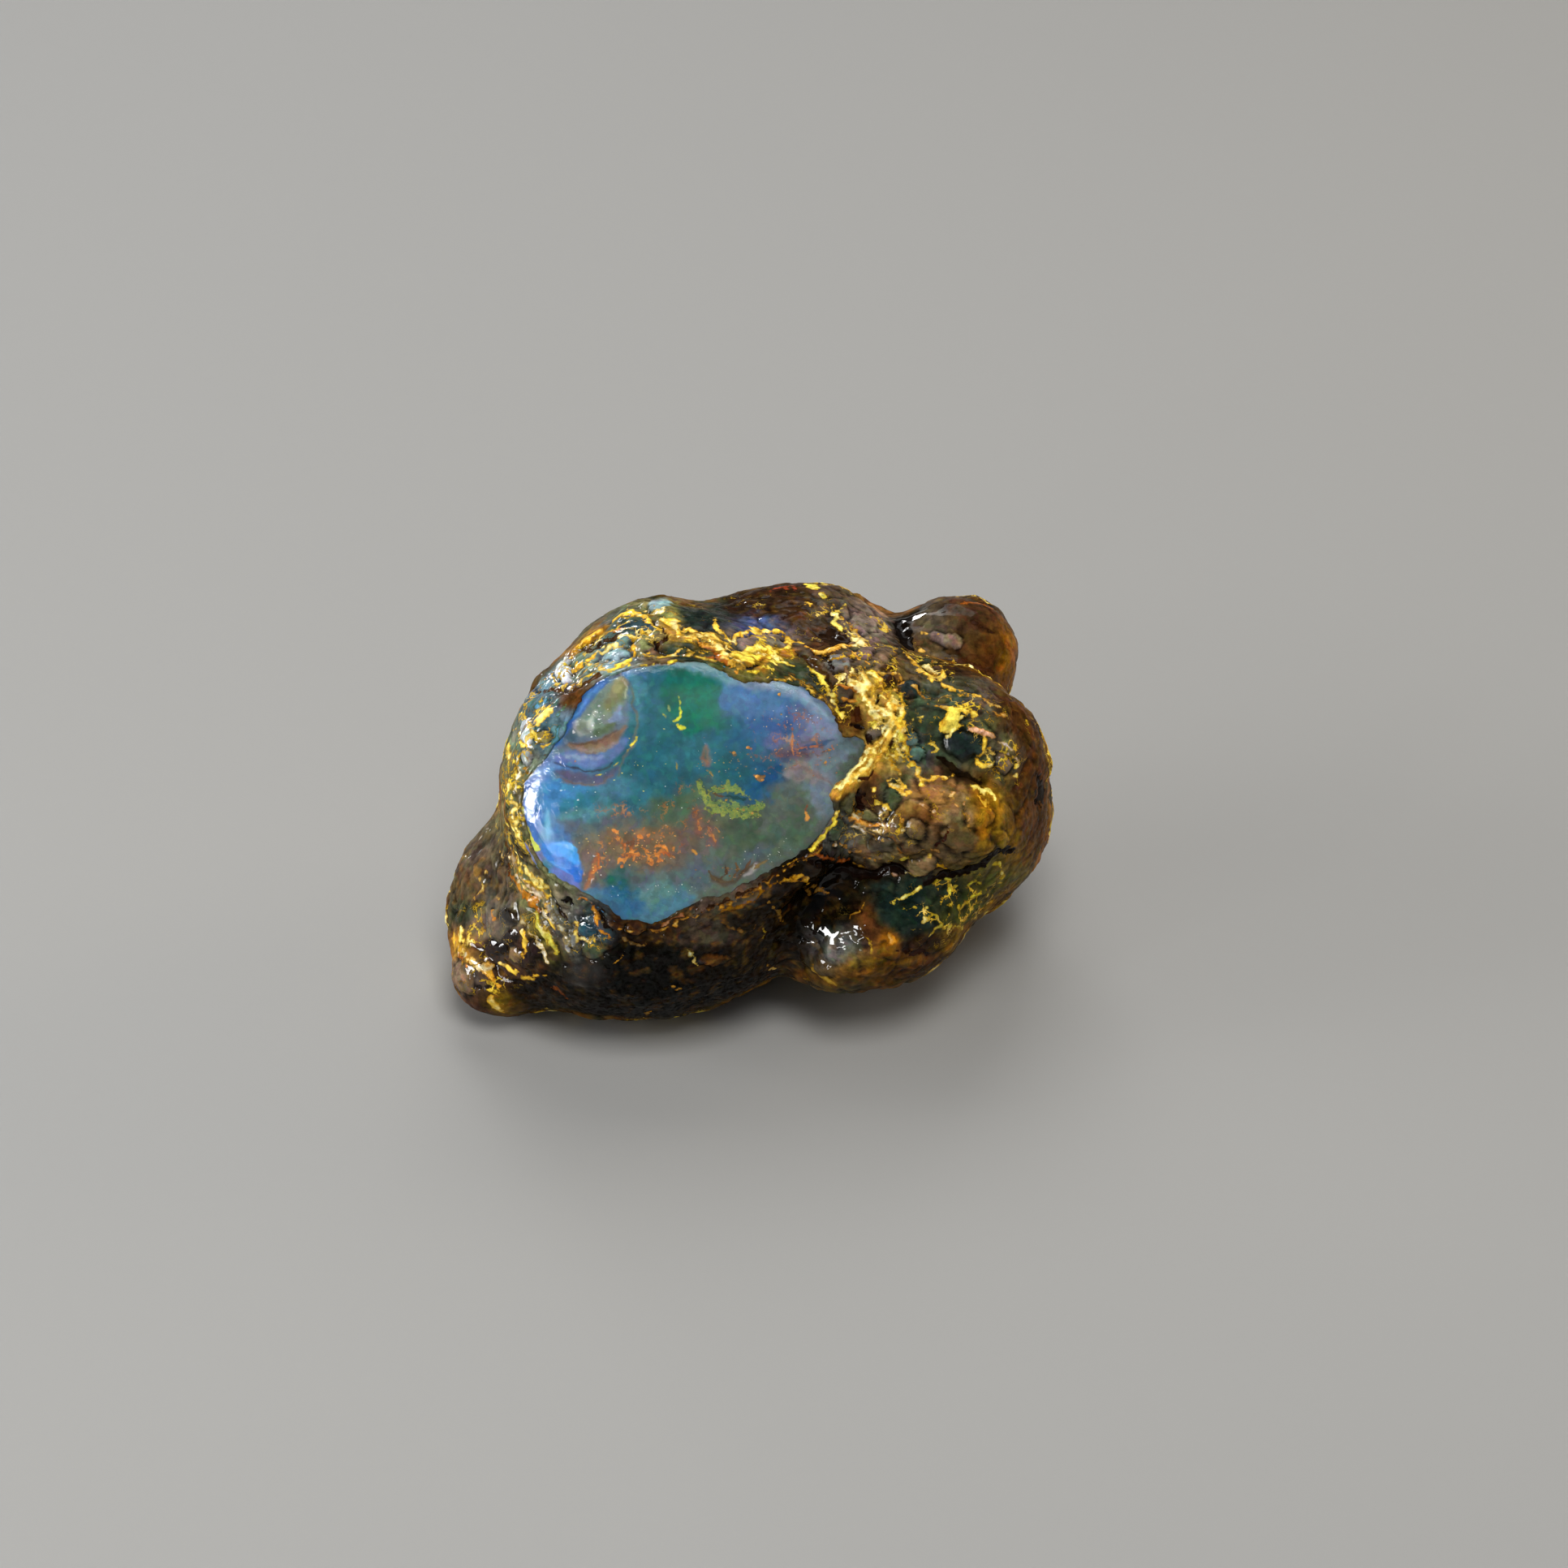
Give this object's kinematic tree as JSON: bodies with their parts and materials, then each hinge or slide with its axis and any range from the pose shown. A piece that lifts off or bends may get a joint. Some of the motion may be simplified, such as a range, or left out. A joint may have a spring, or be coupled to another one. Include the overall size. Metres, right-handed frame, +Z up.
{
  "type": "rough blue amber nodule",
  "caption": "Rough lumpy nodule of blue amber with a smooth clear window on its upper front and a veined brown rind, lying on its worn underside.",
  "frame": {"origin": "on the surface it rests on, under the middle of its bounding box", "axes": "+X along its length, towards the end with the knob; +Y from the window side to the back; +Z up, away from the surface it rests on"},
  "size_m": [0.058, 0.0436, 0.0371],
  "materials": {
    "amber": "glossy, partly see-through resin with a veined brown rind and a smooth blue window"
  },
  "bodies": {
    "root": {"amber_nodule": "amber"}
  },
  "joints": []
}
